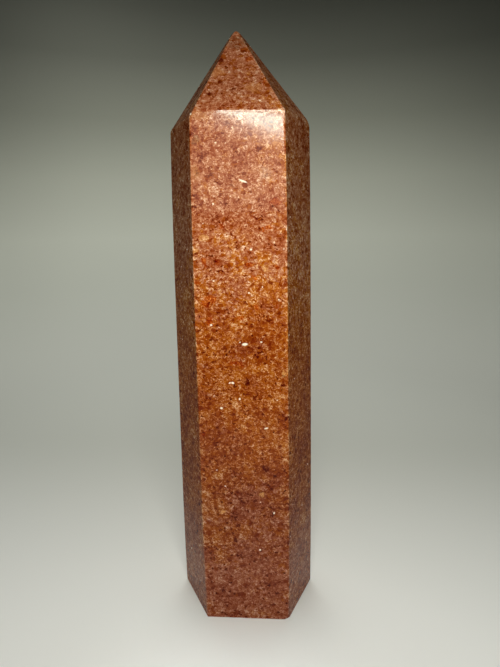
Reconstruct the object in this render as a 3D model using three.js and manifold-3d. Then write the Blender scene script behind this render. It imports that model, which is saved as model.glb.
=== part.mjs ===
import * as THREE from "three";
import { mergeVertices } from "three/addons/utils/BufferGeometryUtils.js";
import Module from "manifold-3d";

// A six-sided tower with a pointed crown, ground and polished from one piece of sunstone.
// Millimetres, +Z up. It stands on its flat foot, centred on the origin, and its broad front looks along -Y.

const wasm = await Module();
wasm.setup();

// The six long sides, anticlockwise seen from above, starting at the front.
// heading is the way a side faces, in degrees from +X towards +Y.
// foot and shoulder are how far the side stands from the middle of the tower, at each end of it.
// belly is how far hand grinding leaves it standing proud of a straight line between them, half way up.
// crown is how high the facet above the side starts, at the side's first edge and at its second.
const SIDES = [
  { heading: 270, foot: 22.5, shoulder: 20.1, belly: 0.2, crown: [192.1, 191.5] },
  { heading: 337.3, foot: 24.9, shoulder: 22.4, belly: 0.55, crown: [191.5, 191.1] },
  { heading: 33, foot: 23.9, shoulder: 21.5, belly: 0.1, crown: [191.1, 190.4] },
  { heading: 91, foot: 22.5, shoulder: 20.2, belly: 0.3, crown: [190.4, 189.8] },
  { heading: 150, foot: 23.4, shoulder: 21.1, belly: 0.1, crown: [189.8, 188.7] },
  { heading: 210, foot: 24.3, shoulder: 23.2, belly: 0.65, crown: [188.7, 190.7] },
];
const SHOULDER_HEIGHT = 191;
const APEX = new THREE.Vector3(-1.2, 0, 222.6);
const TIP_HEIGHT = 221.3;

// The belly is flat in the middle and falls away to both ends as this power of the distance from the middle.
// The sides are worked in flats between these fractions of the shoulder's height, the last one past the tip.
const BELLY_POWER = 4;
const LEVELS = [0, 0.05, 0.15, 0.35, 0.65, 0.85, 0.95, 1.2];

// Widths of the flats that blunt the edges, and how deep each upper corner is worn, edge by edge.
const UPRIGHT_BEVEL = 0.7;
const SHOULDER_BEVEL = 0.6;
const RIDGE_BEVEL = 0.6;
const FOOT_BEVEL = 0.5;
const TIP_BEVEL = 1.4;
const CORNER_WEAR = [0.15, 0.5, 0.2, 0.2, 0.2, 0.3];

// A small flake is knocked off the foot, at the corner between this side and the next.
const CHIPPED_SIDE = 0;
const CHIP_DEPTH = 0.9;

const MIDDLE = new THREE.Vector3(0, 0, TIP_HEIGHT / 2);
const GRINDER = 400;
const STONE_COLOUR = "#b5694a";

const UP = new THREE.Vector3(0, 0, 1);
const FOOT_PLANE = new THREE.Plane(new THREE.Vector3(0, 0, -1), 0);
const TIP_PLANE = new THREE.Plane(UP, -TIP_HEIGHT);

// Makes a solid that can be cut out of a closed three.js geometry.
function toSolid(geometry) {
  const bare = geometry.clone();
  bare.deleteAttribute("normal");
  bare.deleteAttribute("uv");
  const merged = mergeVertices(bare);
  const vertProperties = new Float32Array(merged.attributes.position.array);
  const triVerts = new Uint32Array(merged.index.array);
  return new wasm.Manifold(new wasm.Mesh({ numProp: 3, vertProperties, triVerts }));
}

// Makes a three.js geometry out of a solid that has been cut.
function toGeometry(solid) {
  const mesh = solid.getMesh();
  const geometry = new THREE.BufferGeometry();
  geometry.setAttribute("position", new THREE.BufferAttribute(mesh.vertProperties, 3));
  geometry.setIndex(new THREE.BufferAttribute(mesh.triVerts, 1));
  return geometry;
}

// Grinds away all that lies outside a plane.
function grind(solid, plane) {
  const block = new THREE.BoxGeometry(GRINDER, GRINDER, GRINDER);
  block.translate(0, 0, GRINDER / 2);
  block.applyQuaternion(new THREE.Quaternion().setFromUnitVectors(UP, plane.normal));
  const face = plane.projectPoint(MIDDLE, new THREE.Vector3());
  block.translate(face.x, face.y, face.z);
  return solid.subtract(toSolid(block));
}

// The point where three planes meet.
function meet(a, b, c) {
  const rows = new THREE.Matrix3().set(...a.normal.toArray(), ...b.normal.toArray(), ...c.normal.toArray());
  return new THREE.Vector3(-a.constant, -b.constant, -c.constant).applyMatrix3(rows.invert());
}

// A plane with a heading, at its reach from the upright axis at one height, drawing in by slope above it.
function leaningPlane(heading, reach, height, slope) {
  const angle = THREE.MathUtils.degToRad(heading);
  const point = new THREE.Vector3(reach * Math.cos(angle), reach * Math.sin(angle), height);
  const normal = new THREE.Vector3(Math.cos(angle), Math.sin(angle), slope).normalize();
  return new THREE.Plane().setFromNormalAndCoplanarPoint(normal, point);
}

// A side as if it were straight from the foot to the shoulder.
function straightSide(side) {
  return leaningPlane(side.heading, side.foot, 0, (side.foot - side.shoulder) / SHOULDER_HEIGHT);
}

// How far a side is from the upright axis at a level, as a fraction of the shoulder's height.
// Past the shoulder it goes on as steeply as it got there.
function reachAt(side, level) {
  const fromMiddle = 2 * Math.min(level, 1) - 1;
  const past = 2 * BELLY_POWER * Math.max(level - 1, 0);
  const bulge = side.belly * (1 - fromMiddle ** BELLY_POWER - past);
  return side.foot + (side.shoulder - side.foot) * level + bulge;
}

// The flat of a side between two levels.
function sideFlat(side, low, high) {
  const reach = reachAt(side, low);
  const slope = (reach - reachAt(side, high)) / ((high - low) * SHOULDER_HEIGHT);
  return leaningPlane(side.heading, reach, low * SHOULDER_HEIGHT, slope);
}

// The corner between two sides at a level, where their lines cross.
function cornerAt(side, next, level) {
  const [a, b] = [side, next].map((one) => THREE.MathUtils.degToRad(one.heading));
  const [p, q] = [side, next].map((one) => reachAt(one, level));
  const x = p * Math.sin(b) - q * Math.sin(a);
  const y = q * Math.cos(a) - p * Math.cos(b);
  return new THREE.Vector2(x, y).divideScalar(Math.sin(b - a));
}

// The outline of the sides at a level: two points a corner, so that a small flat blunts each upright edge.
function outlineAt(level) {
  const points = [];
  SIDES.forEach((side, i) => {
    const next = SIDES[(i + 1) % SIDES.length];
    const corner = cornerAt(side, next, level);
    const turn = THREE.MathUtils.degToRad((next.heading - side.heading + 360) % 360);
    const setBack = UPRIGHT_BEVEL / 2 / Math.cos(turn / 2);
    [[side, -setBack], [next, setBack]].forEach(([one, along]) => {
      const angle = THREE.MathUtils.degToRad(one.heading);
      points.push(new THREE.Vector2(-Math.sin(angle), Math.cos(angle)).multiplyScalar(along).add(corner));
    });
  });
  return points;
}

// The six-sided column that the crown is cut from: a cylinder whose rings are drawn out to the outline.
function makeColumn() {
  const outlines = LEVELS.map((level) => outlineAt(level));
  const columns = outlines[0].length;
  const column = new THREE.CylinderGeometry(1, 1, LEVELS.length - 1, columns, LEVELS.length - 1);
  column.rotateX(Math.PI / 2);
  const place = column.attributes.position;
  for (let i = 0; i < place.count; i += 1) {
    const ring = Math.round(place.getZ(i) + (LEVELS.length - 1) / 2);
    const turn = Math.atan2(place.getY(i), place.getX(i)) / (2 * Math.PI);
    const point = outlines[ring][(Math.round(turn * columns) + columns) % columns];
    const radius = Math.round(Math.hypot(place.getX(i), place.getY(i)));
    place.setXYZ(i, radius * point.x, radius * point.y, LEVELS[ring] * SHOULDER_HEIGHT);
  }
  return column;
}

// The crown facet above a side: the plane through the apex and the tops of the side's two edges.
function crownPlane(index) {
  const before = straightSide(SIDES[(index + SIDES.length - 1) % SIDES.length]);
  const own = straightSide(SIDES[index]);
  const after = straightSide(SIDES[(index + 1) % SIDES.length]);
  const [first, second] = SIDES[index].crown;
  const start = meet(before, own, new THREE.Plane(UP, -first));
  const end = meet(own, after, new THREE.Plane(UP, -second));
  return new THREE.Plane().setFromCoplanarPoints(start, end, APEX);
}

// The flat of a given width that blunts the edge between two planes.
function bevel(a, b, width) {
  const sum = a.normal.clone().add(b.normal);
  const depth = (width / 2) * Math.tan(a.normal.angleTo(b.normal) / 2);
  const constant = (a.constant + b.constant) / sum.length() + depth;
  return new THREE.Plane(sum.normalize(), constant);
}

// The flat that wears a corner blunt to a given depth, square to the middle of the planes around it.
function worn(corner, planes, depth) {
  const normal = new THREE.Vector3();
  planes.forEach((plane) => normal.add(plane.normal));
  normal.normalize();
  const point = corner.clone().addScaledVector(normal, -depth);
  return new THREE.Plane().setFromNormalAndCoplanarPoint(normal, point);
}

// Cuts the tower: the crown on the column, then the blunted edges, the worn corners and the chip.
function makeTower() {
  const crown = SIDES.map((side, index) => crownPlane(index));
  const lowest = SIDES.map((side) => sideFlat(side, LEVELS[0], LEVELS[1]));
  const highest = SIDES.map((side) => sideFlat(side, LEVELS.at(-2), LEVELS.at(-1)));

  let solid = toSolid(makeColumn());
  SIDES.forEach((side, i) => {
    const next = (i + 1) % SIDES.length;
    solid = grind(solid, crown[i]);
    solid = grind(solid, bevel(crown[i], crown[next], RIDGE_BEVEL));
    solid = grind(solid, bevel(highest[i], crown[i], SHOULDER_BEVEL));
    solid = grind(solid, bevel(lowest[i], FOOT_PLANE, FOOT_BEVEL));
    solid = grind(solid, bevel(crown[i], TIP_PLANE, TIP_BEVEL));

    const corner = meet(highest[i], highest[next], crown[next]);
    const around = [highest[i], highest[next], crown[i], crown[next]];
    solid = grind(solid, worn(corner, around, CORNER_WEAR[i]));
  });
  const chipped = [lowest[CHIPPED_SIDE], lowest[CHIPPED_SIDE + 1], FOOT_PLANE];
  solid = grind(solid, worn(meet(...chipped), chipped, CHIP_DEPTH));
  return grind(solid, TIP_PLANE);
}

// Moves a shape sideways so that its box is centred on the origin.
function centreOverFoot(geometry) {
  geometry.computeBoundingBox();
  const middle = geometry.boundingBox.getCenter(new THREE.Vector3());
  return geometry.translate(-middle.x, -middle.y, 0);
}

const stone = new THREE.MeshStandardMaterial({ color: STONE_COLOUR, roughness: 0.2, metalness: 0 });
const tower = new THREE.Mesh(centreOverFoot(toGeometry(makeTower())), stone);
tower.name = "sunstone_tower";

const part = new THREE.Group();
part.add(tower);

export default part;
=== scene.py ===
"""The sunstone tower as it looks: its ground and polished skin, its grained stone, and a plain studio.

Sizes of the tower and the studio are in millimetres, with +Z up and the broad front looking along -Y.
Meshes are written in metres, where the frame has them.
"""

import logging
import math
from dataclasses import dataclass
from enum import Enum

import bpy
import numpy as np
from mathutils import Matrix, Quaternion, Vector


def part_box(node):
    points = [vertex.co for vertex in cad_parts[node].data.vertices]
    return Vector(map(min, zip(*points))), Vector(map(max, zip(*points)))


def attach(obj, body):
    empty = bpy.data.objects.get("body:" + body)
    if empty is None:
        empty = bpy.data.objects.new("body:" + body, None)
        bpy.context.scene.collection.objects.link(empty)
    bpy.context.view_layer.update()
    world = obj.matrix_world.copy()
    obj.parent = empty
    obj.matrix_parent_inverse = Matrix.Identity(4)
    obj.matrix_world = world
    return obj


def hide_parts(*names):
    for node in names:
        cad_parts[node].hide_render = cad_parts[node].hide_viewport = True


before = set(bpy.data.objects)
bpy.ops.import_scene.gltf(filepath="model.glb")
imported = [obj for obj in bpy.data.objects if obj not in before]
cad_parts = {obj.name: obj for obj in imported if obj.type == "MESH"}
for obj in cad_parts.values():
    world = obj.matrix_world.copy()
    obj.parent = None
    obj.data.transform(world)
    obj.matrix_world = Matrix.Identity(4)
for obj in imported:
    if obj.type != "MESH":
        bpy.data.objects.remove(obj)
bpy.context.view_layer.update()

log = logging.getLogger("sunstone_tower")

NODE = "sunstone_tower"
BODY = "root"
# The attribute for the paler edges: partly wear, partly a painted highlight of the polished edges.
WEAR_AND_SHEEN = "rubbed"
FACING = "facing"
MM = 0.001

# A rise is where something starts and where it is whole. Stops are the places, from 0 to 1, and the colours
# of a ramp. Sways are names of the stone's readings, with how far each one pushes a sum.
Colour = tuple[float, float, float]
Point = tuple[float, float, float]
Rise = tuple[float, float]
Stops = tuple[tuple[float, Colour], ...]
Sways = tuple[tuple[str, float], ...]

WHITE = (1.0, 1.0, 1.0)
WARM = (1.0, 0.98, 0.9)
COOL = (0.96, 1.0, 1.0)

# The turn, in radians about each axis, that sets the noise aslant to the stone's faces.
ASLANT = (0.61, 0.37, 0.83)

# A crystal that stands out fades out to this far from its middle, in its own half lengths.
INCLUSION_REACH = 1.25


def linear(red: int, green: int, blue: int) -> Colour:
    """The linear colour of a red, green and blue from 0 to 255 on a screen, by the sRGB curve."""
    seen = np.array([red, green, blue]) / 255
    low, high = seen / 12.92, ((seen + 0.055) / 1.055) ** 2.4
    return tuple(float(part) for part in np.where(seen <= 0.04045, low, high))


def closing_steps(count: int, pull: float) -> np.ndarray:
    """Fractions from 0 to 1 that crowd towards both ends: (1 + tanh(pull (2s - 1)) / tanh(pull)) / 2.

    Args:
        count: How many steps there are; the result has one number more.
        pull: How strongly the ends draw the steps in.

    Returns:
        The fractions, the first 0 and the last 1.
    """
    even = np.linspace(-1, 1, count + 1)
    return (1 + np.tanh(pull * even) / math.tanh(pull)) / 2


@dataclass(frozen=True)
class Ripple:
    """A smooth uneven field, about -1 to 1: the mean of waves that run in random ways, scaled up.

    The waves' frequencies are between two shares of the one that the wavelength gives.
    """

    wavelength: float
    seed: int
    waves: int = 14
    shares: tuple[float, float] = (0.7, 1.4)

    def at(self, points: np.ndarray) -> np.ndarray:
        """The field at points.

        It is sqrt(2 / waves) / 2 times the sum of sin(2 pi (point . way) / wavelength + phase) over the waves.

        Args:
            points: Places in millimetres, in the last axis.

        Returns:
            The field, one number a point.
        """
        draw = np.random.default_rng(self.seed)
        ways = draw.normal(size=(self.waves, 3))
        ways *= draw.uniform(*self.shares, (self.waves, 1)) / np.linalg.norm(ways, axis=1, keepdims=True)
        phases = draw.uniform(0, 2 * math.pi, self.waves)
        turns = points @ (ways.T * (2 * math.pi / self.wavelength)) + phases
        return np.sin(turns).sum(-1) * math.sqrt(2 / self.waves) / 2


@dataclass(frozen=True)
class Side:
    """One of the six long sides.

    heading is the way it faces, in degrees from +X towards +Y. foot and shoulder are its reach from the
    upright axis at each end, and belly how far it stands proud of a straight line between them, half way up.
    crown is how high the facet above it starts, at its first edge and at its second.
    """

    heading: float
    foot: float
    shoulder: float
    belly: float
    crown: tuple[float, float]


SIDES = (
    Side(270, 22.5, 20.1, 0.2, (192.1, 191.5)),
    Side(337.3, 24.9, 22.4, 0.55, (191.5, 191.1)),
    Side(33, 23.9, 21.5, 0.1, (191.1, 190.4)),
    Side(91, 22.5, 20.2, 0.3, (190.4, 189.8)),
    Side(150, 23.4, 21.1, 0.1, (189.8, 188.7)),
    Side(210, 24.3, 23.2, 0.65, (188.7, 190.7)),
)


@dataclass(frozen=True)
class Planes:
    """Flat cuts. A point is inside where its place along each normal is less than that plane's reach."""

    normals: np.ndarray
    reaches: np.ndarray

    @staticmethod
    def through(normals: np.ndarray, points: np.ndarray) -> "Planes":
        """Planes with the given normals, which are made one long, each through its own point."""
        unit = normals / np.linalg.norm(normals, axis=-1, keepdims=True)
        return Planes(unit, (unit * points).sum(-1))

    def outside(self, points: np.ndarray) -> np.ndarray:
        """How far each point is outside each plane, less than 0 where it is inside."""
        return points @ self.normals.T - self.reaches


@dataclass
class TowerSkin:
    """The whole surface of the stone, from the middle of its foot up its sides and crown to the blunt tip.

    A softness is how far an edge is rounded. The tip and the chip have their own, which fade into that of
    the edges. The spine is the stretch of the upright axis that the rounded surface is worked out from.
    """

    sides: tuple[Side, ...] = SIDES
    shoulder_height: float = 191.0
    apex: Point = (-1.2, 0.0, 222.6)
    belly_power: int = 4
    corner_wear: tuple[float, ...] = (0.15, 0.5, 0.2, 0.2, 0.2, 0.3)
    chipped_edge: int = 0
    chip_depth: float = 0.55

    edge_softness: float = 0.085
    edge_unevenness: float = 0.35
    edge_ripple: Ripple = Ripple(5.5, seed=3)
    tip_softness: float = 0.43
    tip_fade: float = 3.2
    chip_softness: float = 0.3
    chip_fade: float = 1.6
    waviness: float = 0.012
    waves: Ripple = Ripple(17.0, seed=8)
    wear_and_sheen_reach: float = 0.4

    columns_a_side: int = 40
    foot_rows: int = 24
    side_rows: int = 250
    crown_rows: int = 70
    crowding: float = 1.8
    spine: tuple[float, float] = (20.0, 180.0)
    first_guess: float = 0.98
    nudge: float = 1e-4
    tries: int = 7

    def headings(self) -> np.ndarray:
        """The headings of the sides in radians."""
        return np.radians([side.heading for side in self.sides])

    def tops(self) -> list[float]:
        """How high each upright edge goes: to the lower of the two facets that start there."""
        after = self.sides[1:] + self.sides[:1]
        return [min(one.crown[1], other.crown[0]) for one, other in zip(self.sides, after)]

    def reach(self, height: np.ndarray) -> np.ndarray:
        """How far each side stands from the upright axis.

        It is foot + (shoulder - foot) t + belly (1 - (2t - 1)^power), with t the fraction of the shoulder's
        height, and past the shoulder the belly's part goes on as steeply as it got there.

        Args:
            height: Heights above the foot.

        Returns:
            The reaches, with one more axis for the sides.
        """
        t = np.asarray(height)[..., None] / self.shoulder_height
        foot, shoulder, belly = np.array([(s.foot, s.shoulder, s.belly) for s in self.sides]).T
        past = 2 * self.belly_power * np.maximum(t - 1, 0)
        bulge = belly * (1 - (2 * np.minimum(t, 1) - 1) ** self.belly_power - past)
        return foot + (shoulder - foot) * t + bulge

    def corners(self, height: np.ndarray, straight: bool = False) -> np.ndarray:
        """Where the lines of neighbouring sides cross.

        With reaches p and q and headings a and b, it is (p sin b - q sin a, q cos a - p cos b) / sin(b - a).

        Args:
            height: Heights above the foot.
            straight: Whether the sides count as straight, without their bellies.

        Returns:
            The corners' X and Y, with axes for the edge after each side and for the coordinate.
        """
        a = self.headings()
        b = np.roll(a, -1)
        p = self.reach(height)
        if straight:
            low, high = self.reach(np.array(0.0)), self.reach(np.array(self.shoulder_height))
            p = low + (high - low) * (np.asarray(height)[..., None] / self.shoulder_height)
        q = np.roll(p, -1, axis=-1)
        x = p * np.sin(b) - q * np.sin(a)
        y = q * np.cos(a) - p * np.cos(b)
        return np.stack([x, y], axis=-1) / np.sin(b - a)[:, None]

    def edge_point(self, edge: int, height: float, straight: bool = False) -> np.ndarray:
        """The point of an upright edge at a height. Edge i is between side i and the next one."""
        x, y = self.corners(np.array(height), straight)[edge % len(self.sides)]
        return np.array([x, y, height])

    def crown_planes(self) -> Planes:
        """The facets of the crown: each goes through the apex and the tops of its side's two edges."""
        normals = []
        for index, side in enumerate(self.sides):
            start = self.edge_point(index - 1, side.crown[0], straight=True)
            end = self.edge_point(index, side.crown[1], straight=True)
            normals.append(np.cross(end - start, np.array(self.apex) - start))
        return Planes.through(np.array(normals), np.array(self.apex))

    def wear_planes(self, crown: Planes) -> Planes:
        """The flats worn on the upper corners and the flake knocked off a corner of the foot."""
        a = self.headings()
        sideways = np.stack([np.cos(a), np.sin(a), np.zeros_like(a)], axis=-1)
        normals, points = [], []
        for edge, (depth, height) in enumerate(zip(self.corner_wear, self.tops())):
            after = (edge + 1) % len(self.sides)
            way = sideways[edge] + sideways[after] + crown.normals[edge] + crown.normals[after]
            normals.append(way)
            points.append(self.edge_point(edge, height) - depth * way / np.linalg.norm(way))
        way = sideways[self.chipped_edge] + sideways[self.chipped_edge + 1] - np.array([0, 0, 1])
        normals.append(way)
        points.append(self.edge_point(self.chipped_edge, 0) - self.chip_depth * way / np.linalg.norm(way))
        return Planes.through(np.array(normals), np.array(points))

    def softness(self, points: np.ndarray) -> np.ndarray:
        """How softly the edges are rounded: unevenly along them, and more at the tip and the chip.

        Args:
            points: Places near the surface.

        Returns:
            The softness in millimetres, one number a point.
        """
        soft = self.edge_softness * (1 + self.edge_unevenness * self.edge_ripple.at(points))
        spots = (
            (np.array(self.apex), self.tip_softness, self.tip_fade),
            (self.edge_point(self.chipped_edge, 0), self.chip_softness, self.chip_fade),
        )
        for centre, spot_softness, fade in spots:
            near = np.exp(-((np.linalg.norm(points - centre, axis=-1) / fade) ** 2))
            soft = soft + (spot_softness - soft) * near
        return soft

    def gaps(self, points: np.ndarray, cuts: Planes) -> np.ndarray:
        """How far points are outside each side and each flat cut, less than 0 inside."""
        a = self.headings()
        along = points[..., :2] @ np.stack([np.cos(a), np.sin(a)])
        return np.concatenate([along - self.reach(points[..., 2]), cuts.outside(points)], axis=-1)

    def rubbed(self, points: np.ndarray, cuts: Planes) -> np.ndarray:
        """How near an edge the surface is, for edges paler by wear and a painted highlight: 1 on an edge, and
        exp((next gap - gap) / reach) beside it.
        """
        nearest = np.sort(self.gaps(points, cuts), axis=-1)
        return np.exp((nearest[..., -2] - nearest[..., -1]) / self.wear_and_sheen_reach)

    def outside(self, points: np.ndarray, cuts: Planes) -> np.ndarray:
        """How far points are outside the rounded stone.

        It is s log(sum exp(gap / s)) over the gaps to the sides and the flat cuts, which is the largest gap
        with the edges rounded to the softness s, plus the faint waves that hand grinding leaves.

        Args:
            points: Places in millimetres.
            cuts: The flat cuts of the crown, the wear and the foot.

        Returns:
            The distances, less than 0 inside.
        """
        gaps = self.gaps(points, cuts)
        soft = self.softness(points)[..., None]
        most = gaps.max(axis=-1, keepdims=True)
        total = np.exp((gaps - most) / soft).sum(axis=-1, keepdims=True)
        rounded = (most + soft * np.log(total))[..., 0]
        return rounded + self.waviness * self.waves.at(points)

    def sharp_grid(self) -> np.ndarray:
        """The stone with sharp edges, as a surface of two parameters.

        The first parameter goes up a rib: from the middle of the foot straight out to the rim, up the side
        to the shoulder, and straight to the apex. The second goes round, straight from edge to edge.

        Returns:
            The points, with axes for the rows, the columns and the coordinate. The poles have no row.
        """
        count = len(self.sides)
        across = closing_steps(self.columns_a_side, self.crowding)[:-1]
        edge = np.repeat(np.arange(count), self.columns_a_side)
        share = np.tile(across, count)

        tops = np.array(self.tops())
        top = tops[edge - 1] * (1 - share) + tops[edge] * share
        up = closing_steps(self.side_rows, self.crowding)
        height = up[:, None] * top

        corners = self.corners(height)
        column = np.arange(edge.size)
        first = corners[:, column, edge - 1]
        second = corners[:, column, edge]
        outline = first + (second - first) * share[:, None]
        side = np.concatenate([outline, height[..., None]], axis=-1)

        out = closing_steps(self.foot_rows, self.crowding)[1:-1, None, None]
        foot = side[:1] * out
        climb = closing_steps(self.crown_rows, self.crowding)[1:-1, None, None]
        crown = side[-1:] + (np.array(self.apex) - side[-1:]) * climb
        return np.concatenate([foot, side, crown])

    def round_off(self, points: np.ndarray, cuts: Planes) -> np.ndarray:
        """Moves points along lines from the tower's spine onto the rounded surface.

        Each line starts at the point's own height on the axis, kept between the ends of the spine, so that
        none runs along the surface. Newton's rule finds where the line leaves the stone.

        Args:
            points: Points on the sharp surface.
            cuts: The flat cuts of the crown, the wear and the foot.

        Returns:
            The points on the rounded surface.
        """
        start = np.zeros_like(points)
        start[..., 2] = np.clip(points[..., 2], *self.spine)
        line = points - start
        far = np.full(points.shape[:-1], self.first_guess)
        for _ in range(self.tries):
            here = self.outside(start + line * far[..., None], cuts)
            there = self.outside(start + line * (far + self.nudge)[..., None], cuts)
            far = far - here * self.nudge / (there - here)
        return start + line * far[..., None]

    def mesh(self) -> bpy.types.Object:
        """Builds the skin, closed at the middle of the foot and at the tip.

        Returns:
            The object, at the origin, with its place in its mesh. Its points carry how near an edge they are,
            for the paler edges of wear and painted highlight, and how squarely they face the front or the
            back.
        """
        crown = self.crown_planes()
        wear = self.wear_planes(crown)
        foot = Planes(np.array([[0.0, 0.0, -1.0]]), np.zeros(1))
        cuts = Planes(
            np.concatenate([crown.normals, wear.normals, foot.normals]),
            np.concatenate([crown.reaches, wear.reaches, foot.reaches]),
        )
        grid = self.round_off(self.sharp_grid(), cuts)
        tip = self.round_off(np.array([self.apex]), cuts)
        rows, columns = grid.shape[:2]
        points = np.concatenate([grid.reshape(-1, 3), [[0, 0, 0]], tip])
        rubbed = self.rubbed(points, cuts)
        points[:, 2] = np.maximum(points[:, 2], 0)

        low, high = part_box(NODE)
        middle = (points.max(0) + points.min(0)) / 2
        points[:, 0] += (low.x + high.x) / 2 / MM - middle[0]
        points[:, 1] += (low.y + high.y) / 2 / MM - middle[1]
        piece = surface_of_ribs(NODE + "_skin", points * MM, rows, columns)
        normals = np.empty(3 * len(points), np.float32)
        piece.data.vertices.foreach_get("normal", normals)
        facing = np.abs(normals.reshape(-1, 3)[:, 1])
        for name, numbers in ((WEAR_AND_SHEEN, rubbed.astype(np.float32)), (FACING, facing)):
            piece.data.attributes.new(name, "FLOAT", "POINT").data.foreach_set("value", numbers)
        return piece

    def dress(self, piece: bpy.types.Object, finish: bpy.types.Material) -> None:
        """Gives the skin its finish and sets it in the frame in place of the plain solid."""
        piece.data.materials.append(finish)
        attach(piece, BODY)
        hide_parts(NODE)


def surface_of_ribs(name: str, points: np.ndarray, rows: int, columns: int) -> bpy.types.Object:
    """Makes a closed mesh of a grid that goes round and has a pole at each end.

    Square r, c joins the points (r, c), (r, c + 1), (r + 1, c + 1) and (r + 1, c), the columns going round.

    Args:
        name: The name of the piece.
        points: The grid's points row by row, then the first pole and the last one, in metres.
        rows: How many rows the grid has.
        columns: How many columns it has.

    Returns:
        The object, smooth shaded, with its faces pointing out.
    """
    index = np.arange(rows * columns).reshape(rows, columns)
    after = np.roll(index, -1, axis=1)
    squares = np.stack([index[:-1], after[:-1], after[1:], index[1:]], axis=-1).reshape(-1, 4)
    first_pole, last_pole = rows * columns, rows * columns + 1
    first_fan = np.stack([np.full(columns, first_pole), after[0], index[0]], axis=-1)
    last_fan = np.stack([index[-1], after[-1], np.full(columns, last_pole)], axis=-1)

    loops = np.concatenate([squares.ravel(), first_fan.ravel(), last_fan.ravel()])
    sizes = np.concatenate([np.full(len(squares), 4), np.full(2 * columns, 3)])
    starts = np.concatenate([[0], np.cumsum(sizes)[:-1]])
    mesh = bpy.data.meshes.new(name)
    mesh.vertices.add(len(points))
    mesh.vertices.foreach_set("co", points.astype(np.float32).ravel())
    mesh.loops.add(len(loops))
    mesh.loops.foreach_set("vertex_index", loops.astype(np.int32))
    mesh.polygons.add(len(sizes))
    mesh.polygons.foreach_set("loop_start", starts.astype(np.int32))
    mesh.polygons.foreach_set("use_smooth", np.ones(len(sizes), bool))
    mesh.update(calc_edges=True)
    mesh.validate()
    piece = bpy.data.objects.new(name, mesh)
    bpy.context.scene.collection.objects.link(piece)
    return piece


@dataclass(frozen=True)
class Noise:
    """Smooth noise: the size of its features in millimetres, how many finer layers it has, and its seed."""

    size: float
    layers: float
    seed: float


class Value:
    """What comes out of a socket, for use in sums: each sign adds a Math node."""

    def __init__(self, bench: "Bench", socket: bpy.types.NodeSocket) -> None:
        """Keeps the socket and the bench that it belongs to."""
        self.bench = bench
        self.socket = socket

    def __add__(self, other: "Value | float") -> "Value":
        """This plus other."""
        return self.bench.maths("ADD", self, other)

    def __radd__(self, other: float) -> "Value":
        """Other plus this."""
        return self.bench.maths("ADD", other, self)

    def __sub__(self, other: "Value | float") -> "Value":
        """This minus other."""
        return self.bench.maths("SUBTRACT", self, other)

    def __rsub__(self, other: float) -> "Value":
        """Other minus this."""
        return self.bench.maths("SUBTRACT", other, self)

    def __mul__(self, other: "Value | float") -> "Value":
        """This times other."""
        return self.bench.maths("MULTIPLY", self, other)

    def __rmul__(self, other: float) -> "Value":
        """Other times this."""
        return self.bench.maths("MULTIPLY", other, self)

    def __truediv__(self, other: "Value | float") -> "Value":
        """This over other."""
        return self.bench.maths("DIVIDE", self, other)

    def sway(self, amount: float) -> "Value":
        """A value from 0 to 1 as a push either way: amount times (value - 0.5)."""
        return amount * (self - 0.5)


class Made:
    """A node that was made, whose outputs are read by name."""

    def __init__(self, bench: "Bench", node: bpy.types.Node) -> None:
        """Keeps the node and the bench that it stands on."""
        self.bench = bench
        self.node = node

    def __getitem__(self, name: str) -> Value:
        """The output with that name."""
        return Value(self.bench, self.node.outputs[name])


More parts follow.
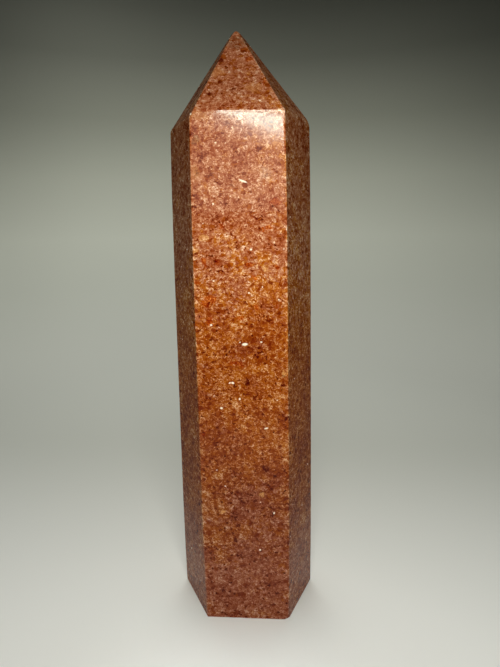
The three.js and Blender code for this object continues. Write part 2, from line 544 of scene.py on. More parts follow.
class Bench:
    """Lays out the nodes of one material."""

    def __init__(self, name: str) -> None:
        """Starts a material with nothing on it."""
        self.material = bpy.data.materials.new(name)
        self.material.use_nodes = True
        self.tree = self.material.node_tree
        self.tree.nodes.clear()

    def node(self, kind: str, settings: dict | None = None, sockets: dict | None = None) -> Made:
        """Adds a node, sets it up and fills its sockets.

        Args:
            kind: The node's type, without the words ShaderNode.
            settings: Its own settings, set first. Stops are a ramp's places and colours.
            sockets: Numbers, colours or links for its sockets, by their names in the node's own list.

        Returns:
            The node.
        """
        node = self.tree.nodes.new("ShaderNode" + kind)
        for key, setting in (settings or {}).items():
            if key == "stops":
                self.set_stops(node.color_ramp, setting)
            else:
                setattr(node, key, setting)
        for key, given in (sockets or {}).items():
            socket = next(s for s in node.inputs if key in (s.identifier, s.name) and s.enabled)
            if isinstance(given, Value):
                self.tree.links.new(given.socket, socket)
            elif socket.type == "RGBA" and len(given) == 3:
                socket.default_value = (*given, 1)
            else:
                socket.default_value = given
        return Made(self, node)

    def set_stops(self, ramp: bpy.types.ColorRamp, stops: Stops) -> None:
        """Puts the stops of a ramp in place of those that it came with."""
        while len(ramp.elements) < len(stops):
            ramp.elements.new(1)
        for element, (place, colour) in zip(ramp.elements, stops):
            element.position = place
            element.color = (*colour, 1)

    def maths(self, operation: str, first: Value | float, second: Value | float | None = None) -> Value:
        """One sum on a number or on two."""
        sockets = {"Value": first} if second is None else {"Value": first, "Value_001": second}
        return self.node("Math", {"operation": operation}, sockets)["Value"]

    def most(self, first: Value | float, second: Value | float) -> Value:
        """The larger of two numbers."""
        return self.maths("MAXIMUM", first, second)

    def vector(self, operation: str, first: Value, second: Value | Point) -> Value:
        """One sum on vectors."""
        both = {"Vector": first, "Vector_001": second}
        return self.node("VectorMath", {"operation": operation}, both)["Vector"]

    def scaled(self, vector: Value, scale: Value | float) -> Value:
        """A vector made longer or shorter, or a colour made lighter or darker."""
        return self.node("VectorMath", {"operation": "SCALE"}, {"Vector": vector, "Scale": scale})["Vector"]

    def parts(self, vector: Value) -> tuple[Value, Value, Value]:
        """The three numbers that a colour or a vector is made of."""
        made = self.node("SeparateXYZ", sockets={"Vector": vector})
        return made["X"], made["Y"], made["Z"]

    def mixed(
        self, share: Value | float, first: Value | Colour, second: Value | Colour, how: str = "MIX"
    ) -> Value:
        """A colour between two others, by the share that the second has."""
        settings = {"data_type": "RGBA", "blend_type": how}
        made = self.node("Mix", settings, {"Factor_Float": share, "A_Color": first, "B_Color": second})
        return Value(self, next(s for s in made.node.outputs if s.identifier == "Result_Color"))

    def tinted(self, colour: Value, tint: Value) -> Value:
        """A colour seen through a tint: the two multiplied."""
        return self.mixed(1.0, colour, tint, "MULTIPLY")

    def ramp(self, stops: Stops, where: Value) -> Value:
        """The colour of a ramp at a number from 0 to 1."""
        return self.node("ValToRGB", {"stops": stops}, {"Fac": where})["Color"]

    def step(self, value: Value, rise: Rise) -> Value:
        """0 below where the rise starts and 1 above where it ends, and smooth between them."""
        sockets = {"Value": value, "From Min": rise[0], "From Max": rise[1]}
        return self.node("MapRange", {"interpolation_type": "SMOOTHSTEP"}, sockets)["Result"]

    def attribute(self, name: str) -> Value:
        """A number that the piece carries at each of its points."""
        return self.node("Attribute", {"attribute_name": name})["Fac"]

    def place(self) -> Value:
        """The place on the piece, in millimetres."""
        return self.scaled(self.node("TexCoord")["Object"], 1 / MM)

    def turned(self, place: Value) -> Value:
        """A place turned about all three axes, so that noise lies aslant to the stone's faces."""
        sockets = {"Vector": place, "Rotation": ASLANT}
        return self.node("Mapping", {"vector_type": "POINT"}, sockets)["Vector"]

    def bent(self, place: Value, turned: Value, noise: Noise, amount: float) -> Value:
        """A place pushed aside by noise: place + amount (noise at the turned place - 0.5)."""
        push = self.vector("SUBTRACT", self.noise(turned, noise)["Color"], (0.5, 0.5, 0.5))
        return self.vector("ADD", place, self.scaled(push, amount))

    def noise(self, where: Value, noise: Noise) -> Made:
        """Noise at a place, as a number and as a colour."""
        sockets = {"Vector": where, "W": noise.seed, "Scale": 1 / noise.size, "Detail": noise.layers}
        return self.node("TexNoise", {"noise_dimensions": "4D"}, sockets)

    def cells(self, where: Value, size: float) -> Made:
        """Crystals packed side by side, about a size in millimetres across."""
        return self.node("TexVoronoi", {"feature": "F1"}, {"Vector": where, "Scale": 1 / size})


@dataclass(frozen=True)
class Zone:
    """A stretch of height that has more of something: it comes in smoothly, and may go out again."""

    amount: float
    rise: Rise
    fall: Rise | None = None

    def over(self, bench: Bench, height: Value) -> Value:
        """What the zone adds at a height: its amount inside it and 0 outside."""
        inside = self.amount * bench.step(height, self.rise)
        return inside * (1 - bench.step(height, self.fall)) if self.fall else inside


@dataclass(frozen=True)
class Reading:
    """What the pattern of the stone is at each place.

    place is in millimetres, height is its Z, and ragged is the place bent out of shape. shade, hue and
    fine_shade change from crystal to crystal, and cloud, grit, patch and zone are noise, all from 0 to 1.
    The rest are masks: facing is where the surface looks to the front or the back, glint the pale flecks
    painted for glints, and rubbed the paler edges, partly wear and partly a painted highlight.
    """

    bench: Bench
    place: Value
    height: Value
    ragged: Value
    shade: Value
    hue: Value
    fine_shade: Value
    cloud: Value
    grit: Value
    patch: Value
    zone: Value
    seam: Value
    amber: Value
    dark: Value
    glint: Value
    rubbed: Value
    facing: Value

    def swayed(self, start: Value | float, sways: Sways) -> Value:
        """Start, with a push either way from each of the values that are named."""
        for name, amount in sways:
            start = start + getattr(self, name).sway(amount)
        return start

    def zoned(self, start: Value | float, zones: tuple[Zone, ...]) -> Value:
        """Start, with what each zone adds to it at this height."""
        for zone in zones:
            start = start + zone.over(self.bench, self.height)
        return start


@dataclass(frozen=True)
class Seam:
    """Thin seams that curl round the crystals where one noise is at its middle, and break off by another."""

    curl: Noise
    edge: Rise
    breaks: Noise
    kept: Rise

    def mask(self, bench: Bench, turned: Value, turned_flat: Value) -> Value:
        """1 in a seam and 0 elsewhere: 1 - step(|curl - 0.5|), where the breaks leave it."""
        off = bench.maths("ABSOLUTE", bench.noise(turned_flat, self.curl)["Fac"] - 0.5)
        kept = bench.step(bench.noise(turned, self.breaks)["Fac"], self.kept)
        return (1 - bench.step(off, self.edge)) * kept


@dataclass(frozen=True)
class StonePattern:
    """The crystals of the stone, and the noise that bends, crowds and breaks them up.

    Sizes are in millimetres. Crystals are picked by a random number that each one has. Amber ones and glints
    reach from a cell's middle out to the edge given, in widths of a cell. The glints are painted highlights:
    pale flecks of colour.
    """

    grain: float = 1.05
    fine_grain: float = 0.56
    flattening: float = 1.2
    bend: Noise = Noise(1.3, 2.0, 33.0)
    bend_by: float = 1.5
    drift: Noise = Noise(2.2, 2.0, 30.0)
    drift_by: float = 3.2
    cloud: Noise = Noise(2.6, 3.0, 2.0)
    grit: Noise = Noise(0.45, 1.0, 5.2)
    patch: Noise = Noise(7.0, 2.0, 9.0)
    zone: Noise = Noise(24.0, 1.0, 12.0)
    crowd: Noise = Noise(9.0, 1.0, 21.0)
    wide_seam: Seam = Seam(Noise(1.5, 1.0, 24.6), (0.012, 0.05), Noise(1.7, 2.0, 15.0), (0.42, 0.56))
    fine_seam: Seam = Seam(Noise(0.9, 1.0, 27.4), (0.012, 0.06), Noise(1.4, 2.0, 18.0), (0.45, 0.58))
    amber: float = 2.7
    amber_crowding: float = 0.6
    amber_picked: Rise = (0.78, 0.8)
    amber_cloudiness: float = 0.9
    amber_grittiness: float = 0.5
    amber_edge: Rise = (0.3, 0.5)
    dark_picked: Rise = (0.915, 0.935)
    glint: float = 2.6
    glint_picked: Rise = (0.95, 0.955)
    glint_edge: Rise = (0.1, 0.16)
    wear_and_sheen_breaks: Rise = (0.35, 0.6)
    facing: Rise = (0.58, 0.76)

    def read(self, bench: Bench) -> Reading:
        """Lays out the pattern.

        Args:
            bench: Where the nodes go.

        Returns:
            What the pattern is at each place of the stone, so that it runs on round every edge.
        """
        place = bench.place()
        _, _, height = bench.parts(place)
        turned = bench.turned(place)
        bent = bench.bent(place, turned, self.bend, self.bend_by)
        flat = bench.vector("MULTIPLY", bent, (1, 1, self.flattening))
        turned_flat = bench.turned(flat)

        shade, hue, number = bench.parts(bench.cells(flat, self.grain)["Color"])
        fine_shade, _, _ = bench.parts(bench.cells(flat, self.fine_grain)["Color"])
        noises = (self.cloud, self.grit, self.patch, self.zone, self.crowd)
        cloud, grit, patch, zone, crowd = (bench.noise(turned, noise)["Fac"] for noise in noises)
        seams = (seam.mask(bench, turned, turned_flat) for seam in (self.wide_seam, self.fine_seam))

        ambers = bench.cells(flat, self.amber)
        _, _, amber_number = bench.parts(ambers["Color"])
        amber = bench.step(amber_number + crowd.sway(self.amber_crowding), self.amber_picked)
        out = ambers["Distance"] + cloud.sway(self.amber_cloudiness) + grit.sway(self.amber_grittiness)
        # Painted glints: tiny pale flecks on a few cells.
        glints = bench.cells(flat, self.glint)
        _, _, glint_number = bench.parts(glints["Color"])
        glint = 1 - bench.step(glints["Distance"], self.glint_edge)
        return Reading(
            bench, place, height,
            ragged=bench.bent(bent, turned, self.drift, self.drift_by),
            shade=shade, hue=hue, fine_shade=fine_shade,
            cloud=cloud, grit=grit, patch=patch, zone=zone,
            seam=bench.most(*seams),
            amber=amber * (1 - bench.step(out, self.amber_edge)),
            dark=bench.step(number, self.dark_picked),
            glint=glint * bench.step(glint_number, self.glint_picked),
            rubbed=bench.attribute(WEAR_AND_SHEEN) * bench.step(cloud, self.wear_and_sheen_breaks),
            facing=bench.step(bench.attribute(FACING), self.facing),
        )


@dataclass(frozen=True)
class StoneColours:
    """How light the stone is from crystal to crystal, and its colours, which change from foot to crown.

    The tone is a number from 0, dark, to 1, pale, and the rosy and honey stops give the colour of each tone.
    Heights for the colours are uneven: they sway with the zones and patches.
    """

    middle: float = 0.4
    sways: Sways = (
        ("shade", 0.2), ("fine_shade", 0.28), ("cloud", 0.5), ("grit", 0.5), ("patch", 0.62), ("zone", 0.2),
    )
    seam_lift: float = 0.33
    # Paler along the edges: partly wear, partly a painted highlight of the polished edges.
    wear_and_sheen_lift: float = 0.2
    lift: float = 0.006
    amber_tone: float = 0.31
    amber_sways: Sways = (("shade", 0.3), ("grit", 0.3))
    dark_drop: float = 0.28
    dark_zones: tuple[Zone, ...] = (Zone(-0.1, (130.0, 170.0)),)
    contrast_zones: tuple[Zone, ...] = (
        Zone(-0.13, (187.0, 196.0)),
        Zone(0.1, (15.0, 40.0), (50.0, 90.0)),
    )
    # The second zone is painted shade: a little darker just under the shoulders, where the lamps' highlight
    # falls on the front.
    tone_zones: tuple[Zone, ...] = (
        Zone(0.05, (95.0, 130.0), (135.0, 170.0)),
        Zone(-0.03, (172.0, 182.0), (189.0, 193.0)),
    )

    rosy: Stops = (
        (0.0, linear(92, 24, 2)),
        (0.25, linear(138, 58, 22)),
        (0.5, linear(174, 102, 64)),
        (0.75, linear(204, 146, 110)),
        (1.0, linear(246, 214, 184)),
    )
    honey: Stops = (
        (0.0, linear(84, 16, 0)),
        (0.25, linear(130, 46, 0)),
        (0.5, linear(162, 79, 6)),
        (0.75, linear(196, 121, 47)),
        (1.0, linear(240, 190, 128)),
    )
    height_sways: Sways = (("zone", 60.0), ("patch", 26.0))
    honey_zone: Zone = Zone(0.4, (18.0, 66.0), (102.0, 166.0))
    honey_sways: Sways = (("zone", 0.5), ("hue", 0.35))
    honey_rise: Rise = (0.548, 0.788)
    honey_lost_in_seams: float = 0.4
    honey_in_amber: float = 0.8

    # Darker and browner towards the foot: partly the stone's own brown-red, partly painted shade.
    foot_brown_and_shade: Colour = (0.615, 0.515, 0.51)
    foot_fades: Rise = (25.0, 150.0)
    # Painted shade: darker and greyer on the crown.
    crown_painted_shade: Colour = (0.8, 0.87, 0.98)
    crown_starts: Rise = (186.0, 200.0)
    # Painted shade: where the surface doesn't face the front or the back it is tinted greyer and dimmed, more
    # so higher up.
    side_painted_tint: Colour = (0.895, 0.96, 0.93)
    side_painted_shade: float = -0.16
    side_zones: tuple[Zone, ...] = (Zone(0.54, (40.0, 170.0)),)

    def tone(self, reading: Reading) -> Value:
        """How light the stone is.

        Args:
            reading: The pattern.

        Returns:
            The tone: the middle one swayed by the pattern, with amber and dark crystals set in it, and then
            its contrast and its level changed by height.
        """
        tone = reading.swayed(self.middle, self.sways)
        # The paler edges are partly wear and partly a painted highlight.
        tone = tone + self.seam_lift * reading.seam + self.wear_and_sheen_lift * reading.rubbed
        amber = reading.swayed(self.amber_tone, self.amber_sways)
        tone = tone * (1 - reading.amber) + reading.amber * amber
        tone = tone - reading.dark * reading.zoned(self.dark_drop, self.dark_zones) + self.lift
        tone = self.middle + (tone - self.middle) * reading.zoned(1.0, self.contrast_zones)
        return reading.zoned(tone, self.tone_zones)

    def colour(self, reading: Reading) -> Value:
        """The stone's colour, with painted shade laid on it.

        Args:
            reading: The pattern.

        Returns:
            The colour: rosy and honey by patches; darker and browner at the foot, partly the stone's brown-red
                and
            partly painted shade; darker and greyer on the crown, painted shade; and dimmer and greyer where
            the surface doesn't face the front or the back, painted shade.
        """
        bench = reading.bench
        tone = self.tone(reading)
        height = reading.swayed(reading.height, self.height_sways)
        honey = reading.swayed(reading.patch + self.honey_zone.over(bench, height), self.honey_sways)
        share = bench.step(honey, self.honey_rise) * (1 - self.honey_lost_in_seams * reading.seam)
        share = bench.most(share, bench.most(reading.amber, reading.dark) * self.honey_in_amber)
        colour = bench.mixed(share, bench.ramp(self.rosy, tone), bench.ramp(self.honey, tone))

        # Painted shade: dimmer and greyer where the surface doesn't face the front or the back.
        dimming = (1 - reading.facing) * reading.zoned(self.side_painted_shade, self.side_zones)
        side = bench.mixed(reading.facing, self.side_painted_tint, WHITE)
        # The foot's tint is partly the stone's brown-red and partly painted shade; the crown's tint is painted
        # shade.
        foot = bench.mixed(bench.step(height, self.foot_fades), self.foot_brown_and_shade, WHITE)
        ends = bench.mixed(bench.step(reading.height, self.crown_starts), foot, self.crown_painted_shade)
        return bench.tinted(bench.tinted(bench.scaled(colour, 1 - dimming), side), ends)


class Kind(Enum):
    """What a crystal that stands out does to the stone's own colour, in the order in which they are laid on.

    Each has how it is laid on, its colour, how much of it covers, and whether grit breaks it up.
    """

    SHADE = ("MULTIPLY", (240, 224, 208), 1.0, False)
    OLIVE = ("MIX", (178, 116, 62), 0.55, True)
    BROWN = ("MULTIPLY", (206, 206, 196), 1.0, True)
    PALE = ("SCREEN", (132, 124, 108), 0.55, True)
    STRAW = ("SCREEN", (192, 140, 82), 0.85, True)
    RUST = ("MULTIPLY", (246, 190, 110), 0.95, False)
    DARK = ("MULTIPLY", (172, 112, 50), 0.9, False)
    # Painted glints: pale flecks of colour that stand in for the flash of light off the stone's platelets.
    FLAKE = ("MIX", (255, 242, 216), 0.95, False)

    def __init__(self, how: str, colour: tuple[int, int, int], cover: float, gritty: bool) -> None:
        """Keeps what the kind is made of."""
        self.how = how
        self.colour = linear(*colour)
        self.cover = cover
        self.gritty = gritty

    def lay(self, bench: Bench, mask: Value, colour: Value) -> Value:
        """Lays it over a colour where the mask is 1."""
        return bench.mixed(mask * self.cover, colour, self.colour, self.how)


@dataclass(frozen=True)
class Inclusion:
    """One crystal that stands out: its middle, its width and height, its lean in degrees, and its depth."""

    middle: Point
    width: float
    height: float
    lean: float = 0.0
    depth: float = 2.4

    def closeness(self, bench: Bench, place: Value) -> Value:
        """How close a place is: 1 in the middle, and 0 at INCLUSION_REACH of its half lengths and beyond."""
        ball = bench.node("TexGradient", {"gradient_type": "SPHERICAL"}, {"Vector": place})
        own = ball.node.texture_mapping
        own.vector_type = "TEXTURE"
        own.translation = self.middle
        own.rotation = (0.0, math.radians(self.lean), 0.0)
        own.scale = [INCLUSION_REACH * side / 2 for side in (self.width, self.depth, self.height)]
        return ball["Fac"]


INCLUSIONS = {
    Kind.SHADE: (
        Inclusion((-14.5, -20.8, 182.0), 7.0, 10.0),
        Inclusion((-14.5, -20.8, 163.0), 5.0, 16.0),
        Inclusion((11.0, -21.5, 131.0), 10.0, 12.0, 12.0),
        Inclusion((8.0, -21.5, 119.0), 16.0, 14.0),
    ),
    Kind.OLIVE: (
        Inclusion((-7.2, -11.0, 205.7), 5.2, 4.2, 0.0, 5.0),
        Inclusion((5.4, -15.0, 199.5), 5.2, 4.0, 0.0, 5.0),
        Inclusion((-12.8, -20.3, 190.6), 6.4, 2.6),
        Inclusion((-13.8, -20.5, 172.4), 3.0, 6.0),
    ),
    Kind.BROWN: (
        Inclusion((-0.6, -3.8, 216.6), 8.0, 6.4, 0.0, 7.0),
        Inclusion((-13.4, -20.4, 183.0), 3.0, 3.2),
    ),
    Kind.PALE: (
        Inclusion((9.6, -20.6, 172.2), 4.4, 4.0),
    ),
    Kind.STRAW: (
        Inclusion((-12.1, -20.9, 151.3), 3.4, 2.7),
        Inclusion((-14.9, -21.0, 146.9), 1.4, 2.4, 20.0),
        Inclusion((9.2, -21.0, 140.9), 2.1, 2.1),
        Inclusion((15.9, -21.5, 103.1), 1.8, 2.6),
        Inclusion((7.4, -22.1, 55.2), 2.3, 2.1),
        Inclusion((-8.1, -22.2, 47.6), 2.7, 2.1),
    ),
    Kind.RUST: (
        Inclusion((-2.2, -3.2, 217.8), 1.8, 1.4),
        Inclusion((0.6, -4.6, 215.4), 1.6, 1.2),
        Inclusion((3.7, -8.3, 209.9), 3.0, 1.8),
        Inclusion((9.0, -14.0, 201.1), 1.4, 3.0),
        Inclusion((13.0, -20.7, 162.8), 4.0, 2.6),
        Inclusion((5.9, -20.8, 157.6), 1.3, 1.3),
        Inclusion((-5.7, -20.8, 154.9), 1.4, 2.0),
        Inclusion((10.3, -20.8, 154.6), 2.4, 2.3, 30.0),
        Inclusion((8.2, -20.9, 153.7), 1.4, 1.7),
        Inclusion((-11.9, -21.0, 143.1), 2.1, 2.7),
        Inclusion((-7.4, -21.0, 143.1), 2.1, 2.4),
        Inclusion((3.3, -21.0, 142.3), 2.4, 1.4),
        Inclusion((-11.5, -21.0, 141.5), 1.7, 1.4),
        Inclusion((13.3, -21.0, 141.2), 1.4, 1.4),
        Inclusion((13.5, -21.0, 141.1), 1.5, 1.4),
        Inclusion((5.3, -21.1, 137.5), 2.4, 1.4, 10.0),
        Inclusion((-14.6, -21.1, 135.9), 1.8, 1.7),
        Inclusion((-10.2, -21.2, 129.9), 4.9, 2.8),
        Inclusion((-11.7, -21.2, 128.3), 4.3, 3.2),
        Inclusion((6.3, -21.2, 127.3), 1.8, 1.4),
        Inclusion((13.2, -21.2, 127.3), 1.7, 2.1),
        Inclusion((0.2, -21.3, 123.4), 3.2, 1.8),
        Inclusion((-10.5, -21.3, 122.0), 3.2, 3.2),
        Inclusion((-16.6, -21.3, 120.2), 1.8, 4.4),
        Inclusion((-1.1, -21.5, 107.0), 5.8, 1.5, 20.0),
        Inclusion((-14.0, -21.8, 79.8), 1.5, 3.4, 20.0),
    ),
    Kind.DARK: (
        Inclusion((-5.9, -8.3, 209.8), 1.8, 2.6),
        Inclusion((-5.6, -13.8, 201.8), 2.6, 2.0),
        Inclusion((-1.2, -15.2, 199.3), 2.6, 1.0),
        Inclusion((-8.4, -16.6, 197.5), 2.2, 1.8),
        Inclusion((-8.6, -20.6, 171.8), 2.7, 0.8, -20.0),
        Inclusion((2.5, -20.6, 168.6), 2.3, 0.6, 16.0),
        Inclusion((-1.8, -20.6, 168.2), 1.3, 1.3),
        Inclusion((7.9, -20.8, 158.3), 0.8, 1.0),
        Inclusion((9.3, -20.8, 158.3), 0.8, 1.0),
        Inclusion((5.9, -20.8, 157.7), 1.3, 1.0),
        Inclusion((12.6, -20.8, 157.6), 1.3, 0.7, 25.0),
        Inclusion((2.5, -20.9, 154.4), 0.7, 0.8),
        Inclusion((0.0, -20.9, 148.2), 2.4, 1.6),
        Inclusion((-2.8, -21.0, 147.1), 1.0, 1.4),
        Inclusion((-9.8, -21.0, 145.1), 0.7, 0.7),
        Inclusion((11.2, -21.1, 135.7), 1.4, 1.7),
        Inclusion((2.4, -21.2, 128.8), 2.5, 0.7, 10.0),
        Inclusion((2.2, -21.2, 128.6), 2.1, 0.6, -10.0),
        Inclusion((-10.3, -21.4, 115.7), 1.8, 1.5),
        Inclusion((-9.4, -21.5, 107.3), 1.8, 1.5),
        Inclusion((2.4, -21.6, 99.7), 1.5, 2.3),
        Inclusion((9.0, -22.0, 66.0), 3.0, 2.4),
        Inclusion((-9.8, -22.5, 22.7), 1.0, 1.0),
    ),
    # Painted glints: pale flecks where the stone flashed.
    Kind.FLAKE: (
        Inclusion((-14.9, -20.2, 191.1), 0.7, 0.8),
        Inclusion((2.0, -20.6, 169.7), 2.9, 0.6, 20.0),
        Inclusion((-8.2, -20.7, 162.5), 0.7, 0.5),
        Inclusion((4.4, -21.0, 147.2), 0.8, 0.7),
        Inclusion((3.5, -21.2, 132.3), 0.7, 0.6),
        Inclusion((-10.1, -21.3, 120.9), 0.9, 0.7),
        Inclusion((1.8, -21.4, 113.9), 2.1, 1.0, -6.0),
        Inclusion((-2.8, -21.6, 99.5), 1.1, 0.8, 20.0),
        Inclusion((-0.4, -21.6, 93.4), 0.7, 0.9),
        Inclusion((-7.2, -21.7, 89.8), 1.0, 0.8),
        Inclusion((9.2, -21.8, 82.1), 1.6, 0.6, -15.0),
        Inclusion((6.5, -22.4, 31.5), 0.8, 0.8),
    ),
}


@dataclass(frozen=True)
class StonePolish:
    """The clear polish: how strong it is on the front and back and on the other sides, and its pits."""

    foot: float = 0.45
    zones: tuple[Zone, ...] = (Zone(0.55, (50.0, 150.0)),)
    side_foot: float = 0.52
    side_zones: tuple[Zone, ...] = (Zone(-0.24, (10.0, 60.0)), Zone(0.05, (188.0, 194.0)))
    pitted: float = 0.5
    pit_sways: Sways = (("fine_shade", 0.25),)
    pit_edge: Rise = (0.36, 0.52)
    roughness: float = 0.1
    index: float = 1.5

    def weight(self, reading: Reading) -> Value:
        """How strong the polish is, and weaker in the pits between the crystals."""
        facing = reading.zoned(self.foot, self.zones) * reading.facing
        aside = reading.zoned(self.side_foot, self.side_zones) * (1 - reading.facing)
        whole = reading.bench.step(reading.swayed(reading.grit, self.pit_sways), self.pit_edge)
        return (facing + aside) * (1 - self.pitted + self.pitted * whole)


@dataclass(frozen=True)
class GrainedStone:
    """Polished sunstone: packed crystals of salmon, honey and red-brown, with paler seams and painted glints.

    The edge of an inclusion is where its cover starts and where it is whole, in half lengths from its
    middle. The grit's rise and the least cover are for the ones that grit breaks up.
    """

    pattern: StonePattern = StonePattern()
    colours: StoneColours = StoneColours()
    polish: StonePolish = StonePolish()
    inclusion_edge: Rise = (1.2, 0.7)
    inclusion_grit: Rise = (0.4, 0.58)
    least_cover: float = 0.35
    roughness: float = 0.5
    index: float = 1.54
    relief: float = 0.008
    crystal_relief: float = 0.5

    def include(self, reading: Reading, colour: Value) -> Value:
        """Lays the crystals that stand out, and the painted glints, over the stone's colour.

        Args:
            reading: The pattern. Painted glints go by the place, and the others by the ragged place.
            colour: The stone's colour, with its painted shade.

        Returns:
            The colour, with the tiny painted glints on top.
        """
        bench = reading.bench
        edge = tuple(1 - out / INCLUSION_REACH for out in self.inclusion_edge)
        broken = self.least_cover + (1 - self.least_cover) * bench.step(reading.grit, self.inclusion_grit)
        for kind in Kind:
            place = reading.place if kind is Kind.FLAKE else reading.ragged
            first, *others = INCLUSIONS[kind]
            close = first.closeness(bench, place)
            for one in others:
                close = bench.most(close, one.closeness(bench, place))
            mask = bench.step(close, edge)
            colour = kind.lay(bench, mask * broken if kind.gritty else mask, colour)
        # Painted glints, scattered at random.
        return Kind.FLAKE.lay(bench, reading.glint, colour)

    def dress(self) -> bpy.types.Material:
        """Builds the material.

        Returns:
            The material: a matt stone with a faint relief under a clear polish.
        """
        bench = Bench("polished_sunstone")
        reading = self.pattern.read(bench)
        relief = bench.node("Bump", sockets={
            "Strength": 1.0,
            "Distance": self.relief * MM,
            "Height": reading.grit + reading.fine_shade * self.crystal_relief,
        })["Normal"]
        shader = bench.node("BsdfPrincipled", sockets={
            "Base Color": self.include(reading, self.colours.colour(reading)),
            "Roughness": self.roughness,
            "IOR": self.index,
            "Specular IOR Level": 0.0,
            "Coat Weight": self.polish.weight(reading),
            "Coat Roughness": self.polish.roughness,
            "Coat IOR": self.polish.index,
            "Normal": relief,
        })
        bench.node("OutputMaterial", sockets={"Surface": shader["BSDF"]})
        return bench.material


@dataclass(frozen=True)
class Lamp:
    """A soft panel of light: where its middle is, what it points at, its size and how bright its face is.

    One that doesn't shine lights the stone, but isn't mirrored in its polish, and one that doesn't light is
    only mirrored. The tilt turns it in its own plane, and the spread is the angle that its light fans to.
    """

    name: str
    centre: Point
    aim: Point
    size: tuple[float, float]
    glow: float
    colour: Colour = WHITE
    shines: bool = True
    lights: bool = True
    tilt: float = 0.0
    spread: float = 180.0

    def hang(self) -> None:
        """Hangs the panel. The power that gives a face of area A the brightness glow is pi A glow."""
        data = bpy.data.lights.new(self.name, "AREA")
        data.shape = "RECTANGLE"
        data.size, data.size_y = (side * MM for side in self.size)
        data.energy = math.pi * data.size * data.size_y * self.glow
        data.color = self.colour
        data.spread = math.radians(self.spread)
        lamp = bpy.data.objects.new(self.name, data)
        lamp.location = Vector(self.centre) * MM
        turned = (Vector(self.aim) - Vector(self.centre)).to_track_quat("-Z", "Y")
        lamp.rotation_euler = (turned @ Quaternion((0, 0, 1), math.radians(self.tilt))).to_euler()
        lamp.visible_camera = False
        lamp.visible_glossy = self.shines
        lamp.visible_diffuse = self.lights
        bpy.context.scene.collection.objects.link(lamp)
        log.info("lamp %s", self.name)


LAMPS = (
    Lamp("strip", (-4, -201, 232), (0, -20, 190), (50, 12), 21.0, (0.9, 1.0, 0.85), tilt=-23.0),
    Lamp("strip_haze", (-6, -200, 227), (0, -20, 190), (54, 22), 2.7, (1.0, 1.0, 0.86), tilt=-16.0),
    Lamp("wide_haze", (-8, -199, 204), (0, -20, 190), (84, 72), 1.25, (1.0, 1.0, 0.86)),
    Lamp("edge_panel", (-5, -168, 289), (0, -20, 195), (42, 112), 17.0, (0.96, 1.0, 0.84), lights=False),
    Lamp("near_panel", (30, -196, 202), (0, -20, 110), (80, 60), 23.2, WARM, shines=False),
    Lamp("back_panel", (-70, 280, 520), (-50, 330, 0), (520, 260), 4.7, (1.0, 1.0, 0.95), shines=False),
    Lamp("floor_panel", (0, -52, 90), (0, -47, 0), (64, 12), 1.15, COOL, shines=False, spread=52),
    Lamp("rear_beam", (-12, 215, 155), (0, 20, 150), (90, 60), 4.0, WARM, shines=False, spread=64),
    Lamp("rear_strip", (-12, 215, 236), (0, 20, 190), (70, 22), 7.0, (1.0, 1.0, 0.9), lights=False, tilt=12),
)


@dataclass(frozen=True)
class StudioPaint:
    """Matt paint: pale on the near floor, and painted shade that darkens it up the wall and towards its
    flanks.

    A bearing is the cosine of the turn away from straight behind the tower, and a length is from its middle.
    The flanks are dimmed once near by, and again farther out and more so higher up, all painted shade.
    """

    floor: Colour = (0.89, 0.9, 0.885)
    floor_back: Rise = (-70.0, 150.0)
    floor_rim: Rise = (280.0, 560.0)
    # The wall darkens with height: painted shade.
    wall: Stops = (
        (0.0, (0.54, 0.555, 0.515)),
        (0.12, (0.53, 0.55, 0.495)),
        (0.22, (0.55, 0.57, 0.505)),
        (0.36, (0.44, 0.455, 0.395)),
        (0.51, (0.25, 0.26, 0.22)),
        (0.65, (0.125, 0.13, 0.11)),
        (0.76, (0.085, 0.088, 0.075)),
        (1.0, (0.05, 0.05, 0.042)),
    )
    wall_top: float = 600.0
    skew: float = 0.07
    flank: Rise = (-0.6, 0.1)
    near_bearing: Rise = (0.58, 0.76)
    near_length: Rise = (250.0, 500.0)
    near_painted_shade: float = 0.4
    far_bearing: Rise = (0.8, 0.99)
    far_length: Rise = (400.0, 620.0)
    far_painted_shade: float = 0.12
    far_painted_shade_zone: Zone = Zone(0.33, (80.0, 400.0))
    roughness: float = 0.8
    specular: float = 0.2

    def mix(self) -> bpy.types.Material:
        """Builds the material.

        Returns:
            The material, for a floor whose object is at the origin.
        """
        bench = Bench("studio_paint")
        x, y, height = bench.parts(bench.place())
        length = bench.maths("SQRT", x * x + y * y)
        bearing = (y - self.skew * x) / bench.most(length, 1.0)
        flank = bench.step(bearing, self.flank)
        near = flank * (1 - bench.step(bearing, self.near_bearing)) * bench.step(length, self.near_length)
        far = flank * (1 - bench.step(bearing, self.far_bearing)) * bench.step(length, self.far_length)
        # Painted shade: the wall darker with height and on its flanks.
        wall = bench.scaled(bench.ramp(self.wall, height / self.wall_top), 1 - self.near_painted_shade * near)
        wall = bench.scaled(wall, 1 - far * (self.far_painted_shade + self.far_painted_shade_zone.over(bench, height)))
        floor = (1 - bench.step(y, self.floor_back)) * (1 - bench.step(length, self.floor_rim))
        shader = bench.node("BsdfPrincipled", sockets={
            "Base Color": bench.mixed(floor, wall, self.floor),
            "Roughness": self.roughness,
            "Specular IOR Level": self.specular,
        })
        bench.node("OutputMaterial", sockets={"Surface": shader["BSDF"]})
        return bench.material


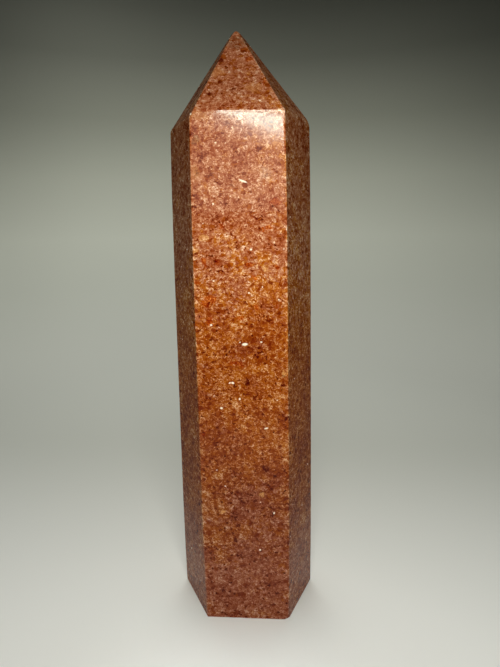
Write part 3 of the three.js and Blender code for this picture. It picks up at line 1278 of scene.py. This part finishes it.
@dataclass
class Studio:
    """A plain pale floor that sweeps up into a wall all round, and soft panels of light."""

    floor_radius: float = 330.0
    sweep_radius: float = 300.0
    wall_height: float = 1100.0
    inner_share: float = 0.02
    floor_rings: int = 12
    sweep_rings: int = 24
    columns: int = 96
    ambient: Colour = (0.03, 0.03, 0.028)
    paint: StudioPaint = StudioPaint()
    lamps: tuple[Lamp, ...] = LAMPS

    def floor(self) -> bpy.types.Object:
        """The floor and wall: a profile turned round the upright axis.

        The profile is a straight line out to the floor's radius, a quarter circle up, and a straight wall.

        Returns:
            The object.
        """
        flat = np.linspace(self.inner_share, 1, self.floor_rings) * self.floor_radius
        bend = np.linspace(0, math.pi / 2, self.sweep_rings)[1:]
        swept = self.floor_radius + self.sweep_radius * np.sin(bend)
        radius = np.concatenate([flat, swept, [self.floor_radius + self.sweep_radius]])
        risen = self.sweep_radius * (1 - np.cos(bend))
        height = np.concatenate([np.zeros_like(flat), risen, [self.wall_height]])
        turn = np.linspace(0, 2 * math.pi, self.columns, endpoint=False)
        x = radius[:, None] * np.cos(turn)
        y = radius[:, None] * np.sin(turn)
        z = np.broadcast_to(height[:, None], x.shape)
        points = np.concatenate([np.stack([x, y, z], axis=-1).reshape(-1, 3), [[0, 0, 0]]])

        index = np.arange(x.size).reshape(x.shape)
        after = np.roll(index, -1, axis=1)
        squares = np.stack([index[:-1], index[1:], after[1:], after[:-1]], axis=-1).reshape(-1, 4)
        fan = np.stack([np.full(self.columns, x.size), index[0], after[0]], axis=-1)
        mesh = bpy.data.meshes.new("studio_floor")
        mesh.from_pydata((points * MM).tolist(), [], squares.tolist() + fan.tolist())
        mesh.shade_smooth()
        mesh.materials.append(self.paint.mix())
        floor = bpy.data.objects.new("studio_floor", mesh)
        bpy.context.scene.collection.objects.link(floor)
        return floor

    def build(self) -> None:
        """Lays the floor, hangs the lamps and sets the dim light that fills the room."""
        self.floor()
        for lamp in self.lamps:
            lamp.hang()
        world = bpy.data.worlds.new("studio_air")
        world.use_nodes = True
        world.node_tree.nodes["Background"].inputs["Color"].default_value = (*self.ambient, 1)
        bpy.context.scene.world = world
        bpy.context.scene.view_settings.view_transform = "Standard"


@dataclass(frozen=True)
class Eye:
    """The camera, where the photograph was taken from."""

    place: Point = (15.528, -193.782, 157.463)
    pitch_down: float = 12.904
    roll: float = 0.817
    yaw: float = -3.929
    focal_pixels: float = 501.0
    picture_height: int = 667
    sensor: float = 36.0
    nearest: float = 10.0

    def set_up(self) -> None:
        """Makes the camera: turned by yaw, tipped down by pitch, then rolled about its own line of sight."""
        pitch, roll, yaw = (math.radians(angle) for angle in (self.pitch_down, self.roll, self.yaw))
        across = math.cos(pitch)
        forward = Vector((math.sin(yaw) * across, math.cos(yaw) * across, -math.sin(pitch)))
        level = Vector((math.cos(yaw), -math.sin(yaw), 0))
        down = forward.cross(level)
        right = level * math.cos(roll) + down * math.sin(roll)
        up = level * math.sin(roll) - down * math.cos(roll)

        data = bpy.data.cameras.new("camera")
        data.sensor_width = self.sensor
        data.lens = self.focal_pixels / self.picture_height * self.sensor
        data.clip_start = self.nearest * MM
        camera = bpy.data.objects.new("camera", data)
        bpy.context.scene.collection.objects.link(camera)
        turned = Matrix((right, up, -forward)).transposed().to_4x4()
        camera.matrix_world = Matrix.Translation(Vector(self.place) * MM) @ turned
        bpy.context.scene.camera = camera


def main() -> None:
    """Sets up the camera and the studio, builds the tower, dresses it, and logs how many faces its skin has.
    """
    logging.basicConfig(level=logging.INFO, format="%(name)s: %(message)s")
    Eye().set_up()
    Studio().build()
    tower = TowerSkin()
    skin = tower.mesh()
    tower.dress(skin, GrainedStone().dress())
    log.info("piece %s: %d faces", skin.name, len(skin.data.polygons))


if __name__ == "__main__":
    main()
